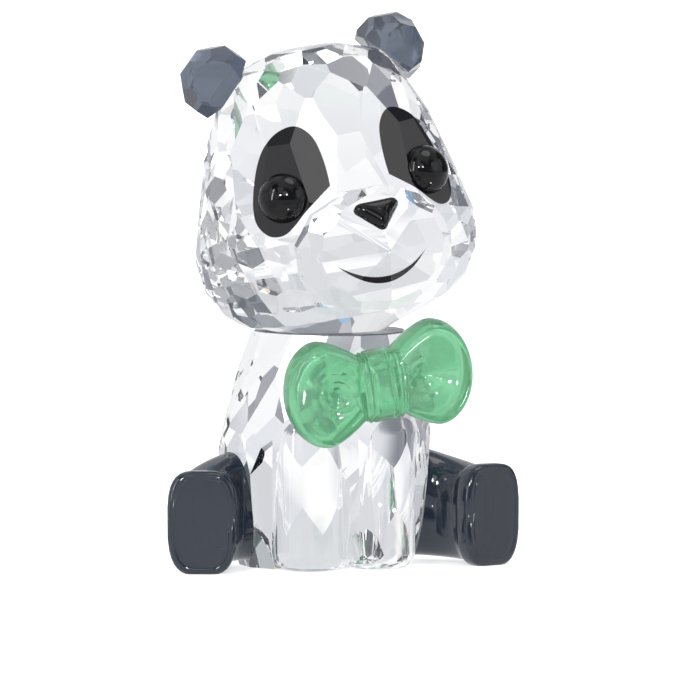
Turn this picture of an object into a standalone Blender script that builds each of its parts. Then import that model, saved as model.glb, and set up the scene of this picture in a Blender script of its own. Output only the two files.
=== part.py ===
"""A small cut-crystal panda that sits upright, built from separately ground pieces.

The panda faces -Y and +Z is up. The origin is the middle of the body's flat underside.
Its own left is +X. Lengths are metres, written in millimetres times MM.
"""

import math

import bmesh
import bpy
import numpy as np
from mathutils import Matrix, Vector

MM = 0.001

# Driving sizes of the body
NECK_HEIGHT = 20.6 * MM
BODY_HALF_WIDTH = 9.4 * MM
BODY_FACET_COUNT = 14
BASE_SPARE = 0.4 * MM

# Driving sizes of the head
HEAD_HALF_WIDTH = 12.4 * MM
GIRDLE_HEIGHT = 28.3 * MM
HEAD_FORWARD = 3.0 * MM
HEAD_ROLL = math.radians(10.2)

# Driving sizes of the muzzle
MUZZLE_HALF_WIDTH = 6.7 * MM
MUZZLE_HALF_HEIGHT = 5.3 * MM
MUZZLE_RIM_DEPTH = 10.0 * MM
MUZZLE_APEX_DEPTH = 14.1 * MM
MUZZLE_FACET_COUNT = 12
MUZZLE_TIP_FACET_COUNT = 8
MUZZLE_ROOT_SHARE = 0.4

# Driving sizes of the ears
EAR_RADIUS = 3.0 * MM
EAR_HALF_THICKNESS = 2.5 * MM
EAR_LIFT = 1.05 * MM
EAR_BACK = 0.9 * MM
EAR_SEAT_SHARE = 1.217
EAR_SEAT_SLOPE = math.radians(42)
EAR_YAW = math.radians(18)
EAR_FACET_COUNT = 8
EAR_TAPER = 0.42
EAR_TAPER_POWER = 2.2

# Driving sizes of the eyes and the nose
EYE_RADIUS = 2.15 * MM
EYE_STAND_OUT = 1.7 * MM
NOSE_HALF_WIDTH = 2.0 * MM
NOSE_HALF_HEIGHT = 1.35 * MM
NOSE_STAND_OUT = 0.95 * MM
NOSE_TILT = math.radians(33)
NOSE_CORNER = 0.5 * MM
NOSE_RISE_SHARE = 0.55
NOSE_DEPTH_SHARE = 0.78
DOME_END = math.radians(86)
DOME_STEPS = 7

# Driving sizes of the front paws
PAW_RADIUS = 3.2 * MM
PAW_SIDE = 3.15 * MM
PAW_FORWARD = 5.2 * MM
PAW_HEIGHT = 15.0 * MM
PAW_ROUNDING = 1.4 * MM
PAW_TOP_END = math.radians(75)
PAW_STEPS = 4

# Driving sizes of the legs
HIP_DISTANCE = 8.2 * MM
HIP_BACK = 0.6 * MM
HIP_TURN = math.radians(8)
HIP_LEAN = math.radians(7)
HIP_HALF_WIDTH = 3.1 * MM
HIP_TOP = 10.3 * MM
HIP_BOTTOM = 0.6 * MM
SOLE_SIDE = 13.4 * MM
SOLE_FORWARD = 6.6 * MM
SOLE_TURN = math.radians(20)
SOLE_HALF_WIDTH = 3.05 * MM
SOLE_HEIGHT = 8.95 * MM
FOOT_PAD = 2.1 * MM
SOLE_ROUNDING = 0.55 * MM
ANKLE_SHARE = 0.9
ANKLE_LIFT = 0.25 * MM
HIP_SPARE = 2.0 * MM
LEG_STEPS = 8
LEG_TOP_NARROWING = 0.05
LEG_BOTTOM_NARROWING = 0.13
HIP_SQUARENESS = 2.6
ANKLE_SQUARENESS = 3.5
SOLE_SQUARENESS = 3.9
SOLE_DROP = 0.1 * MM
SOLE_STEPS = 4

# Driving sizes of the bow tie
BOW_HEIGHT = 17.0 * MM
BOW_SIDE = 1.1 * MM
BOW_ROLL = math.radians(10.7)
BOW_HALF_WIDTH = 8.45 * MM
BOW_HALF_HEIGHT = 4.7 * MM
BOW_THICKNESS = 3.2 * MM
BOW_WAIST_HALF_HEIGHT = 2.4 * MM
BOW_WIDEST_SHARE = 0.6
BOW_DISH = 1.3 * MM
BOW_DISH_SHIFT = 1.0 * MM
BOW_DISH_POWER = 1.3
BOW_RIM_SHARE = 0.16
BOW_TAPER_POWER = 1.5
BOW_BACK_SHARE = 0.10
LOBE_STEPS = 24
TAPER_STEPS = 8
RIM_STEPS = 8
KNOT_HALF_WIDTH = 2.2 * MM
KNOT_HALF_HEIGHT = 3.1 * MM
KNOT_THICKNESS = 4.3 * MM
KNOT_GROOVE = 0.22 * MM
KNOT_BAND_SHARE = 0.42
KNOT_BULGE = 0.10
KNOT_END_ROUNDING = 0.22
KNOT_SQUARENESS = 2.8
KNOT_STEPS = 16

# Film of glue between two pieces
GLUE_GAP = 0.1 * MM

# Vertices closer than this are one
WELD = 0.002 * MM

# Body outline: height share, then half width, front and back as shares of the half width
BODY_OUTLINE = (
    (0.00, 0.78, 0.62, 0.80),
    (0.10, 0.87, 0.66, 0.86),
    (0.20, 0.93, 0.70, 0.91),
    (0.44, 1.00, 0.81, 0.94),
    (0.58, 0.97, 0.91, 0.87),
    (0.74, 0.89, 0.98, 0.72),
    (1.00, 0.71, 1.02, 0.34),
)

# Head outline above the girdle: height and half width as shares of the half width
HEAD_OUTLINE = (
    (-0.60, 0.36),
    (-0.53, 0.53),
    (-0.48, 0.71),
    (-0.38, 0.84),
    (-0.33, 0.89),
    (-0.19, 0.97),
    (0.00, 1.00),
    (0.16, 0.98),
    (0.36, 0.925),
    (0.60, 0.86),
    (0.81, 0.79),
    (1.02, 0.70),
    (1.20, 0.60),
    (1.32, 0.46),
    (1.38, 0.26),
    (1.41, 0.08),
)
HEAD_DEPTH_SHARE = 0.89
CROWN_SHARE = 1.395

# Rows of facets: height share, turn of the row in facets
CHEST_ROW = 0.70
BODY_ROWS = ((0.90, 0.5), (CHEST_ROW, 0.0), (0.47, 0.5), (0.27, 0.0), (0.09, 0.5))
HEAD_LARGE_COUNT = 10
HEAD_SMALL_COUNT = 24
EYE_ROW = 0.45
HEAD_LARGE_ROWS = ((1.34, 0.0), (1.21, 0.5), (1.02, 0.0), (0.76, 0.5), (EYE_ROW, 0.0))
HEAD_SMALL_ROWS = ((0.15, 0.5), (-0.10, 0.0), (-0.27, 0.5), (-0.41, 0.0), (-0.51, 0.5))
SMALL_FACETS_END = -0.35

# Rows of facets of the muzzle and the ears, in the same way
MUZZLE_ROWS = ((0.0, 0.0), (0.34, 0.5))
MUZZLE_TIP_ROWS = ((0.86, 0.5),)
EAR_ROWS = ((-0.62, 0.5), (0.0, 0.0), (0.62, 0.5))

# Rows along the ankle: share of the foot pad's depth, size share of the sole
ANKLE_ROWS = ((0.10, 0.95), (0.20, 0.985), (0.32, 1.0))

# Shares of a lobe's outline at which its dish is shaped
DISH_SHARES = (0.22, 0.35, 0.48, 0.60, 0.70, 0.78)

# Steps in height, as shares, over which the slope of a facet is read
BODY_READ = 0.04
HEAD_READ = 0.06
MUZZLE_READ = 0.02
EAR_READ = 0.15
TURN_READ = 0.05

ROUND_STEPS = 32


def clear_scene():
    for thing in list(bpy.data.objects):
        bpy.data.objects.remove(thing)


def material(name, colour, roughness, transmission, ior):
    made = bpy.data.materials.new(name)
    made.use_nodes = True
    shader = made.node_tree.nodes["Principled BSDF"]
    shader.inputs["Base Color"].default_value = (*colour, 1.0)
    shader.inputs["Roughness"].default_value = roughness
    shader.inputs["Metallic"].default_value = 0.0
    shader.inputs["Transmission Weight"].default_value = transmission
    shader.inputs["IOR"].default_value = ior
    return made


def make_object(name, bm, finish, smooth=False):
    bmesh.ops.recalc_face_normals(bm, faces=bm.faces)
    for face in bm.faces:
        face.smooth = smooth
    mesh = bpy.data.meshes.new(name)
    bm.to_mesh(mesh)
    bm.free()
    mesh.materials.append(finish)
    made = bpy.data.objects.new(name, mesh)
    bpy.context.scene.collection.objects.link(made)
    return made


def combine(target, helper, operation):
    """Join the helper to the target or cut it away; the helper itself is only a guide."""
    helper.hide_render = True
    helper.display_type = "WIRE"
    step = target.modifiers.new(helper.name, "BOOLEAN")
    step.operation = operation
    step.solver = "EXACT"
    step.object = helper


def read_outline(outline, height):
    """Values of an outline's columns at a height, straight between its rows."""
    table = np.array(outline)
    return [float(np.interp(height, table[:, 0], column)) for column in table.T[1:]]


def tangent_plane(surface, angle, height, step):
    """Point and outward normal of the plane that touches a surface there."""
    across = surface(angle + TURN_READ, height) - surface(angle - TURN_READ, height)
    upward = surface(angle, height + step) - surface(angle, height - step)
    return surface(angle, height), across.cross(upward).normalized()


def facet_rows(surface, rows, count, step, keep=None):
    """Facets all round at each row, or only those that keep(row, number, angle) lets through."""
    planes = []
    for row, (height, turn) in enumerate(rows):
        for number in range(count):
            angle = math.tau * (number + turn) / count
            if keep is None or keep(row, number, angle):
                planes.append(tangent_plane(surface, angle, height, step))
    return planes


def block(half_size):
    bm = bmesh.new()
    bmesh.ops.create_cube(bm, size=2 * half_size)
    return bm


def grind(bm, planes):
    """Take away what lies outside each plane and close the cut with one flat facet."""
    for point, normal in planes:
        everything = bm.verts[:] + bm.edges[:] + bm.faces[:]
        bmesh.ops.bisect_plane(
            bm, geom=everything, dist=WELD, plane_co=point, plane_no=normal, clear_outer=True
        )
        open_edges = [edge for edge in bm.edges if edge.is_boundary]
        bmesh.ops.holes_fill(bm, edges=open_edges, sides=0)
    bmesh.ops.remove_doubles(bm, verts=bm.verts, dist=10 * WELD)


def loft(rings):
    """Skin closed rings of points in order and close both ends."""
    bm = bmesh.new()
    rows = [[bm.verts.new(point) for point in ring] for ring in rings]
    count = len(rows[0])
    for near, far in zip(rows, rows[1:]):
        for k in range(count):
            after = (k + 1) % count
            bm.faces.new((near[k], near[after], far[after], far[k]))
    bm.faces.new(rows[0])
    bm.faces.new(rows[-1])
    return bm


def signed_power(value, power):
    return math.copysign(abs(value) ** power, value)


def squircle(angle, half_width, half_height, squareness):
    """Point of a rounded rectangle's outline; a squareness of 2 is an ellipse."""
    power = 2.0 / squareness
    across = half_width * signed_power(math.cos(angle), power)
    upward = half_height * signed_power(math.sin(angle), power)
    return across, upward


def circle_angles(count):
    return [math.tau * (k + 0.5) / count for k in range(count)]


# Body


def body_surface(angle, height):
    half_width, front, back = read_outline(BODY_OUTLINE, height)
    depth = front if math.cos(angle) > 0 else back
    return Vector((
        BODY_HALF_WIDTH * half_width * math.sin(angle),
        -BODY_HALF_WIDTH * depth * math.cos(angle),
        NECK_HEIGHT * height,
    ))


def hip_plane(side, gap=0.0):
    """Flat seat of a leg on the body's side, moved outwards by a gap."""
    normal = Vector((
        side * math.cos(HIP_TURN) * math.cos(HIP_LEAN),
        -math.sin(HIP_TURN) * math.cos(HIP_LEAN),
        -math.sin(HIP_LEAN),
    ))
    middle = Vector((0.0, 0.0, (HIP_TOP + HIP_BOTTOM) / 2))
    return middle + normal * (HIP_DISTANCE + gap), normal


def paw_column(name, side, finish):
    """Upright rounded column whose domed top ends inside the body."""
    centre = Vector((side * PAW_SIDE, -PAW_FORWARD, 0.0))
    outline = [(PAW_RADIUS - PAW_ROUNDING, -BASE_SPARE / 2)]
    for step in range(PAW_STEPS + 1):
        turn = math.radians(90) * step / PAW_STEPS
        inset = PAW_ROUNDING * (1 - math.sin(turn))
        outline.append((PAW_RADIUS - inset, PAW_ROUNDING * (1 - math.cos(turn))))
    outline.append((PAW_RADIUS, PAW_HEIGHT - PAW_RADIUS))
    for step in range(1, PAW_STEPS + 1):
        turn = PAW_TOP_END * step / PAW_STEPS
        outline.append((PAW_RADIUS * math.cos(turn), PAW_HEIGHT - PAW_RADIUS * (1 - math.sin(turn))))
    rings = []
    for radius, height in outline:
        ring = [
            centre + Vector((radius * math.cos(a), radius * math.sin(a), height))
            for a in circle_angles(ROUND_STEPS)
        ]
        rings.append(ring)
    return make_object(name, loft(rings), finish, smooth=True)


def make_body(finish):
    bm = block(2 * NECK_HEIGHT)
    planes = facet_rows(body_surface, BODY_ROWS, BODY_FACET_COUNT, BODY_READ)
    planes.append((Vector((0, 0, NECK_HEIGHT)), Vector((0, 0, 1))))
    planes.append((Vector((0, 0, -BASE_SPARE)), Vector((0, 0, -1))))
    planes += [hip_plane(-1), hip_plane(1)]
    grind(bm, planes)
    body = make_object("body", bm, finish)
    for name, side in (("left_paw_form", 1), ("right_paw_form", -1)):
        combine(body, paw_column(name, side, finish), "UNION")
    base = block(2 * BODY_HALF_WIDTH)
    base.transform(Matrix.Translation((0, 0, -2 * BODY_HALF_WIDTH)))
    combine(body, make_object("base_cut", base, finish), "DIFFERENCE")
    return body


# Head


def head_surface(angle, height):
    """Head in its own frame: girdle at height 0, before it is rolled and lifted."""
    (half_width,) = read_outline(HEAD_OUTLINE, height)
    return Vector((
        HEAD_HALF_WIDTH * half_width * math.sin(angle),
        -HEAD_HALF_WIDTH * HEAD_DEPTH_SHARE * half_width * math.cos(angle),
        HEAD_HALF_WIDTH * height,
    ))


def head_frame():
    """Place of the head's own frame: forward of the body's axis and rolled to the right."""
    place = Matrix.Translation((0, -HEAD_FORWARD, GIRDLE_HEIGHT))
    return place @ Matrix.Rotation(-HEAD_ROLL, 4, "Y")


def ear_seat(side, gap=0.0):
    """Flat seat of an ear in the head's own frame, moved outwards by a gap."""
    (half_width,) = read_outline(HEAD_OUTLINE, EAR_SEAT_SHARE)
    normal = Vector((side * math.cos(EAR_SEAT_SLOPE), 0, math.sin(EAR_SEAT_SLOPE)))
    point = Vector((side * HEAD_HALF_WIDTH * half_width, EAR_BACK, HEAD_HALF_WIDTH * EAR_SEAT_SHARE))
    return point + normal * gap, normal


def eye_seat(side):
    """Middle and normal of the facet that carries an eye, in the head's own frame."""
    return tangent_plane(head_surface, side * math.tau / HEAD_LARGE_COUNT, EYE_ROW, HEAD_READ)


def forward_frame(depth):
    """Frame on the head's axis whose +Z looks forward."""
    return Matrix.Translation((0, -depth, 0)) @ Matrix.Rotation(math.radians(90), 4, "X")


def muzzle_surface(angle, height):
    """Dome in its own frame, from its rim at height 0 to its apex at height 1."""
    reach = math.sqrt(max(0.0, 1.0 - height * height))
    return Vector((
        MUZZLE_HALF_WIDTH * reach * math.sin(angle),
        -MUZZLE_HALF_HEIGHT * reach * math.cos(angle),
        (MUZZLE_APEX_DEPTH - MUZZLE_RIM_DEPTH) * height,
    ))


def nose_seat(gap=0.0):
    """Flat seat of the nose on the muzzle, in the muzzle's own frame."""
    normal = Vector((0, math.sin(NOSE_TILT), math.cos(NOSE_TILT)))
    depth = NOSE_DEPTH_SHARE * (MUZZLE_APEX_DEPTH - MUZZLE_RIM_DEPTH)
    point = Vector((0, NOSE_RISE_SHARE * MUZZLE_HALF_HEIGHT, depth))
    return point + normal * gap, normal


def make_muzzle(finish):
    bm = block(HEAD_HALF_WIDTH)
    planes = [(Vector((0, 0, -MUZZLE_ROOT_SHARE * MUZZLE_RIM_DEPTH)), Vector((0, 0, -1)))]
    planes += facet_rows(muzzle_surface, MUZZLE_ROWS, MUZZLE_FACET_COUNT, MUZZLE_READ)
    planes += facet_rows(muzzle_surface, MUZZLE_TIP_ROWS, MUZZLE_TIP_FACET_COUNT, MUZZLE_READ)
    planes.append(nose_seat())
    grind(bm, planes)
    bm.transform(head_frame() @ forward_frame(MUZZLE_RIM_DEPTH))
    return make_object("muzzle_form", bm, finish)


def small_facet_kept(row, number, angle):
    """All small facets in front, and behind every second one of every second row."""
    behind = math.cos(angle) < SMALL_FACETS_END
    return not behind or (row % 2 == 0 and number % 2 == 0)


def make_head(finish):
    bm = block(2 * HEAD_HALF_WIDTH)
    planes = facet_rows(head_surface, HEAD_LARGE_ROWS, HEAD_LARGE_COUNT, HEAD_READ)
    planes += facet_rows(
        head_surface, HEAD_SMALL_ROWS, HEAD_SMALL_COUNT, HEAD_READ, small_facet_kept
    )
    planes.append((Vector((0, 0, CROWN_SHARE * HEAD_HALF_WIDTH)), Vector((0, 0, 1))))
    planes += [ear_seat(-1), ear_seat(1)]
    grind(bm, planes)
    bm.transform(head_frame())
    grind(bm, [(Vector((0, 0, NECK_HEIGHT + GLUE_GAP)), Vector((0, 0, -1)))])
    head = make_object("head", bm, finish)
    combine(head, make_muzzle(finish), "UNION")
    return head


# Ears, eyes and nose


def ear_surface(angle, height):
    """Thick disc in its own frame, its flat faces at height -1 and 1."""
    reach = 1.0 - EAR_TAPER * abs(height) ** EAR_TAPER_POWER
    return Vector((
        EAR_RADIUS * reach * math.sin(angle),
        -EAR_RADIUS * reach * math.cos(angle),
        EAR_HALF_THICKNESS * height,
    ))


def make_ear(name, side, finish):
    bm = block(2 * EAR_RADIUS)
    planes = facet_rows(ear_surface, EAR_ROWS, EAR_FACET_COUNT, EAR_READ)
    for end in (-1, 1):
        planes.append((Vector((0, 0, end * EAR_HALF_THICKNESS)), Vector((0, 0, end))))
    grind(bm, planes)
    centre, normal = ear_seat(side, EAR_LIFT)
    turn = Matrix.Rotation(side * EAR_YAW, 4, "Z")
    bm.transform(Matrix.Translation(centre) @ turn @ forward_frame(0.0))
    seat, normal = ear_seat(side, GLUE_GAP)
    grind(bm, [(seat, -normal)])
    bm.transform(head_frame())
    return make_object(name, bm, finish)


def dome(outline, stand_out):
    """Cabochon over a flat outline, given as points in the XY plane round the origin."""
    rings = []
    for step in range(DOME_STEPS + 1):
        turn = DOME_END * step / DOME_STEPS
        rings.append([
            Vector((x * math.cos(turn), y * math.cos(turn), stand_out * math.sin(turn)))
            for x, y in outline
        ])
    return loft(rings)


def seat_frame(point, normal):
    """Frame at a seat whose +Z is the seat's normal and whose +Y is as upright as it can be."""
    across = Vector((0, 0, 1)).cross(normal).normalized()
    upward = normal.cross(across)
    turn = Matrix((across, upward, normal)).transposed().to_4x4()
    return Matrix.Translation(point) @ turn


def make_eye(name, side, finish):
    outline = [(EYE_RADIUS * math.cos(a), EYE_RADIUS * math.sin(a)) for a in circle_angles(ROUND_STEPS)]
    bm = dome(outline, EYE_STAND_OUT)
    point, normal = eye_seat(side)
    bm.transform(head_frame() @ seat_frame(point + normal * GLUE_GAP, normal))
    return make_object(name, bm, finish, smooth=True)


def rounded_triangle(half_width, half_height, rounding, steps):
    """Outline of a triangle that points down, its corners rounded by arcs."""
    corners = (
        (Vector((half_width - rounding, half_height - rounding)), -35, 95),
        (Vector((rounding - half_width, half_height - rounding)), 85, 215),
        (Vector((0, rounding - half_height)), 215, 325),
    )
    outline = []
    for corner, start, end in corners:
        for step in range(steps + 1):
            angle = math.radians(start + (end - start) * step / steps)
            outline.append(tuple(corner + rounding * Vector((math.cos(angle), math.sin(angle)))))
    return outline


def make_nose(finish):
    outline = rounded_triangle(NOSE_HALF_WIDTH, NOSE_HALF_HEIGHT, NOSE_CORNER, 6)
    bm = dome(outline, NOSE_STAND_OUT)
    point, normal = nose_seat(GLUE_GAP)
    place = head_frame() @ forward_frame(MUZZLE_RIM_DEPTH)
    across = Vector((1, 0, 0))
    turn = Matrix((across, normal.cross(across), normal)).transposed().to_4x4()
    bm.transform(place @ Matrix.Translation(point) @ turn)
    return make_object("nose", bm, finish, smooth=True)


# Legs


def leg_section(centre, heading, half_width, bottom, top, squareness):
    """Upright closed section across a heading in plan, wider at half height than at the ends."""
    across = Vector((-heading.y, heading.x, 0))
    half_height = (top - bottom) / 2
    ring = []
    for angle in circle_angles(ROUND_STEPS):
        u, v = squircle(angle, half_width, half_height, squareness)
        share = v / half_height
        narrowing = LEG_TOP_NARROWING if share > 0 else LEG_BOTTOM_NARROWING
        u *= 1.0 - narrowing * share * share
        ring.append(Vector((centre.x, centre.y, bottom + half_height + v)) + across * u)
    return ring


def make_leg(name, side, finish):
    hip_heading = Vector((side * math.cos(HIP_TURN), -math.sin(HIP_TURN)))
    sole_heading = Vector((side * math.sin(SOLE_TURN), -math.cos(SOLE_TURN)))
    sole = Vector((side * SOLE_SIDE, -SOLE_FORWARD))
    ankle = sole - sole_heading * FOOT_PAD
    hip = hip_heading * HIP_DISTANCE + hip_heading.orthogonal() * side * HIP_BACK
    root = hip - hip_heading * HIP_SPARE
    ankle_half_width = ANKLE_SHARE * SOLE_HALF_WIDTH
    ankle_top = ANKLE_SHARE * SOLE_HEIGHT + ANKLE_LIFT
    span = ankle - hip
    knee = hip + hip_heading * span.cross(sole_heading) / hip_heading.cross(sole_heading)

    rings = [leg_section(root, hip_heading, HIP_HALF_WIDTH, HIP_BOTTOM, HIP_TOP, HIP_SQUARENESS)]
    for step in range(LEG_STEPS + 1):
        t = step / LEG_STEPS
        centre = hip * (1 - t) ** 2 + knee * 2 * t * (1 - t) + ankle * t * t
        heading = (hip_heading * (1 - t) + sole_heading * t).normalized()
        swell = math.sin(t * math.pi / 2)
        half_width = HIP_HALF_WIDTH + (ankle_half_width - HIP_HALF_WIDTH) * swell
        bottom = HIP_BOTTOM * (1 - t) + ANKLE_LIFT * t
        top = HIP_TOP * (1 - t) + ankle_top * t
        squareness = HIP_SQUARENESS * (1 - t) + ANKLE_SQUARENESS * t
        rings.append(leg_section(centre, heading, half_width, bottom, top, squareness))

    edges = [*ANKLE_ROWS, (1.0 - SOLE_ROUNDING / FOOT_PAD, 1.0)]
    for step in range(1, SOLE_STEPS + 1):
        turn = math.radians(90) * step / SOLE_STEPS
        forward = FOOT_PAD - SOLE_ROUNDING * (1 - math.sin(turn))
        inset = SOLE_ROUNDING * (1 - math.cos(turn))
        edges.append((forward / FOOT_PAD, 1.0 - inset / SOLE_HALF_WIDTH))
    for along, share in edges:
        centre = ankle + sole_heading * FOOT_PAD * along
        inset = (1.0 - share) * SOLE_HALF_WIDTH
        half_width = SOLE_HALF_WIDTH - inset
        bottom = inset - SOLE_DROP
        top = SOLE_HEIGHT - inset
        rings.append(leg_section(centre, sole_heading, half_width, bottom, top, SOLE_SQUARENESS))
    bm = loft(rings)
    point, normal = hip_plane(side, GLUE_GAP)
    grind(bm, [(point, -normal), (Vector((0, 0, 0)), Vector((0, 0, -1)))])
    return make_object(name, bm, finish, smooth=True)


# Bow tie


def bow_frame():
    """Frame of the bow on the chest facet: +Z looks forward, +Y is the bow's own up."""
    chest, normal = tangent_plane(body_surface, 0.0, CHEST_ROW, BODY_READ)
    rise = (BOW_HEIGHT - chest.z) / math.hypot(normal.y, normal.z)
    seat = seat_frame(chest + normal * GLUE_GAP, normal) @ Matrix.Translation((0, rise, 0))
    return seat @ Matrix.Translation((BOW_SIDE, 0, 0)) @ Matrix.Rotation(BOW_ROLL, 4, "Z")


def lobe_outline():
    """Outline of a lobe from its widest line: a half ellipse outside, a taper to the knot inside."""
    widest = BOW_WIDEST_SHARE * BOW_HALF_WIDTH
    inner = KNOT_HALF_WIDTH / 2
    outline = []
    for step in range(LOBE_STEPS + 1):
        angle = math.radians(90 - 180 * step / LOBE_STEPS)
        reach = (BOW_HALF_WIDTH - widest) * math.cos(angle)
        outline.append((widest + reach, BOW_HALF_HEIGHT * math.sin(angle)))
    taper = []
    for step in range(1, TAPER_STEPS + 1):
        share = step / TAPER_STEPS
        drop = (BOW_HALF_HEIGHT - BOW_WAIST_HALF_HEIGHT) * share ** BOW_TAPER_POWER
        height = BOW_HALF_HEIGHT - drop
        taper.append((widest + (inner - widest) * share, height))
    outline += [(x, -height) for x, height in taper]
    outline += [(inner, BOW_WAIST_HALF_HEIGHT * share) for share in (-0.5, 0.0, 0.5)]
    outline += reversed(taper)
    return outline


def bow_lobe(name, side, finish):
    """Lobe with a raised rounded rim round a dish that sinks towards the knot."""
    outline = lobe_outline()
    middle = BOW_WIDEST_SHARE * BOW_HALF_WIDTH
    half = BOW_THICKNESS / 2
    rim = 1.0 - BOW_RIM_SHARE
    profile = []
    for share in (BOW_BACK_SHARE, *DISH_SHARES):
        sink = BOW_DISH * math.cos(math.pi / 2 * share / rim) ** BOW_DISH_POWER
        profile.append((share, BOW_THICKNESS - sink))
    for step in range(RIM_STEPS + 1):
        turn = math.radians(180) * step / RIM_STEPS
        profile.append((rim + BOW_RIM_SHARE * math.sin(turn), half + half * math.cos(turn)))
    profile.append((BOW_BACK_SHARE, 0.0))
    rings = []
    for share, depth in profile:
        centre = middle - (1.0 - share) * BOW_DISH_SHIFT
        rings.append([
            Vector((side * (centre + share * (x - middle)), share * y, depth)) for x, y in outline
        ])
    bm = loft(rings)
    bm.transform(bow_frame())
    return make_object(name, bm, finish, smooth=True)


def knot_scale(x):
    """Girth of the knot along its length: a plain middle band between rounded ribs."""
    share = abs(x) / KNOT_HALF_WIDTH
    barrel = 1.0 - KNOT_BULGE * share ** 2 - KNOT_END_ROUNDING * share ** 8
    if share < KNOT_BAND_SHARE:
        return barrel
    groove = KNOT_GROOVE / KNOT_HALF_HEIGHT
    spacing = (1.0 - KNOT_BAND_SHARE) / 2
    return barrel - groove * (0.5 + 0.5 * math.cos(math.tau * (share - KNOT_BAND_SHARE) / spacing))


def make_bow(finish):
    rings = []
    for step in range(2 * KNOT_STEPS + 1):
        x = KNOT_HALF_WIDTH * math.sin(math.radians(90) * (step / KNOT_STEPS - 1))
        scale = knot_scale(x)
        ring = []
        for angle in circle_angles(ROUND_STEPS):
            half_depth = KNOT_THICKNESS / 2 * scale
            y, depth = squircle(angle, KNOT_HALF_HEIGHT * scale, half_depth, KNOT_SQUARENESS)
            ring.append(Vector((x, y, KNOT_THICKNESS / 2 + depth)))
        rings.append(ring)
    bm = loft(rings)
    bm.transform(bow_frame())
    bow = make_object("bow_tie", bm, finish, smooth=True)
    for name, side in (("left_lobe_form", 1), ("right_lobe_form", -1)):
        combine(bow, bow_lobe(name, side, finish), "UNION")
    return bow


def build():
    clear_scene()
    clear = material("clear crystal", (0.95, 0.97, 1.0), 0.0, 1.0, 1.56)
    slate = material("dark slate crystal", (0.06, 0.08, 0.12), 0.05, 0.6, 1.56)
    green = material("green glass", (0.25, 0.75, 0.40), 0.03, 1.0, 1.52)
    black = material("black bead", (0.01, 0.01, 0.012), 0.08, 0.0, 1.5)
    make_body(clear)
    make_head(clear)
    for name, side in (("left", 1), ("right", -1)):
        make_leg(name + "_leg", side, slate)
        make_ear(name + "_ear", side, slate)
        make_eye(name + "_eye", side, black)
    make_nose(black)
    make_bow(green)


build()
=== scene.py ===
"""Looks of a small seated panda of cut crystal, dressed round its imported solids.

The panda faces -Y, +Z is up and its own left is +X. Lengths are metres, written in millimetres
times MM.
"""

import logging
import math
from collections.abc import Callable, Sequence
from dataclasses import dataclass
from enum import Enum

import bpy
from mathutils import Matrix, Vector


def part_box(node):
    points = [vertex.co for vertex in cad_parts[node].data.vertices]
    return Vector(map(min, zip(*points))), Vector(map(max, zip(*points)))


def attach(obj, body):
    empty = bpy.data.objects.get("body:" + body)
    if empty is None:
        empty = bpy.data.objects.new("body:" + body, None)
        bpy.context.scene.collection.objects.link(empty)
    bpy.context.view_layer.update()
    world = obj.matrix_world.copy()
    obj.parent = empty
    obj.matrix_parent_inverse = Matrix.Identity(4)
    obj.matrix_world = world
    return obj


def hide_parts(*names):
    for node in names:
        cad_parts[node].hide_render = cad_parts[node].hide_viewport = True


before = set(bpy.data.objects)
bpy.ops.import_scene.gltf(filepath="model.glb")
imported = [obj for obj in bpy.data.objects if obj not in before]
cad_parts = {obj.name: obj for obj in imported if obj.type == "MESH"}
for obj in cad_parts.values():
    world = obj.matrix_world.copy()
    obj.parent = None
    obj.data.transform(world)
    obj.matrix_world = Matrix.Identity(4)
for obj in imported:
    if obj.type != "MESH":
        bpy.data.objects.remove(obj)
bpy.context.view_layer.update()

MM = 0.001
WELD = 0.001 * MM
FLAT_ANGLE = math.radians(0.6)
FINE_ANGLE = math.radians(0.2)
SMOOTH_DEGREES = 40.0
LARGEST_SMOOTH_FACE = 1e-6
Colour = tuple[float, float, float]
LOG = logging.getLogger("panda")


class Slot(Enum):
    """Material slots."""

    CLEAR = "clear_crystal"
    SLATE = "slate_crystal"
    GREEN = "green_glass"
    BEAD = "black_bead"


class Side(Enum):
    """The panda's own sides, as the sign of X."""

    LEFT = 1
    RIGHT = -1

    @property
    def word(self) -> str:
        """Lower-case name of the side.

        Returns:
            The word "left" or "right".
        """
        return self.name.lower()


def deselect_all() -> None:
    """Leave edit mode and clear the selection."""
    if bpy.context.object is not None and bpy.context.object.mode != "OBJECT":
        bpy.ops.object.mode_set(mode="OBJECT")
    bpy.ops.object.select_all(action="DESELECT")


def activate(piece: bpy.types.Object) -> None:
    """Make a piece the only selected and the active object.

    Args:
        piece: The object to work on.
    """
    deselect_all()
    piece.select_set(True)
    bpy.context.view_layer.objects.active = piece


def pick_faces(piece: bpy.types.Object, test: Callable[[bpy.types.MeshPolygon], bool]) -> None:
    """Enter edit mode with only some faces selected.

    Args:
        piece: The piece to edit.
        test: Tells whether a face is picked.
    """
    activate(piece)
    bpy.context.tool_settings.mesh_select_mode = (False, False, True)
    bpy.ops.object.mode_set(mode="EDIT")
    bpy.ops.mesh.select_all(action="DESELECT")
    bpy.ops.object.mode_set(mode="OBJECT")
    for face in piece.data.polygons:
        face.select = test(face)
    bpy.ops.object.mode_set(mode="EDIT")


def turn_outwards() -> None:
    """Turn the faces of the whole mesh outwards and leave edit mode."""
    bpy.ops.mesh.select_all(action="SELECT")
    bpy.ops.mesh.normals_make_consistent(inside=False)
    bpy.ops.object.mode_set(mode="OBJECT")


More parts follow.
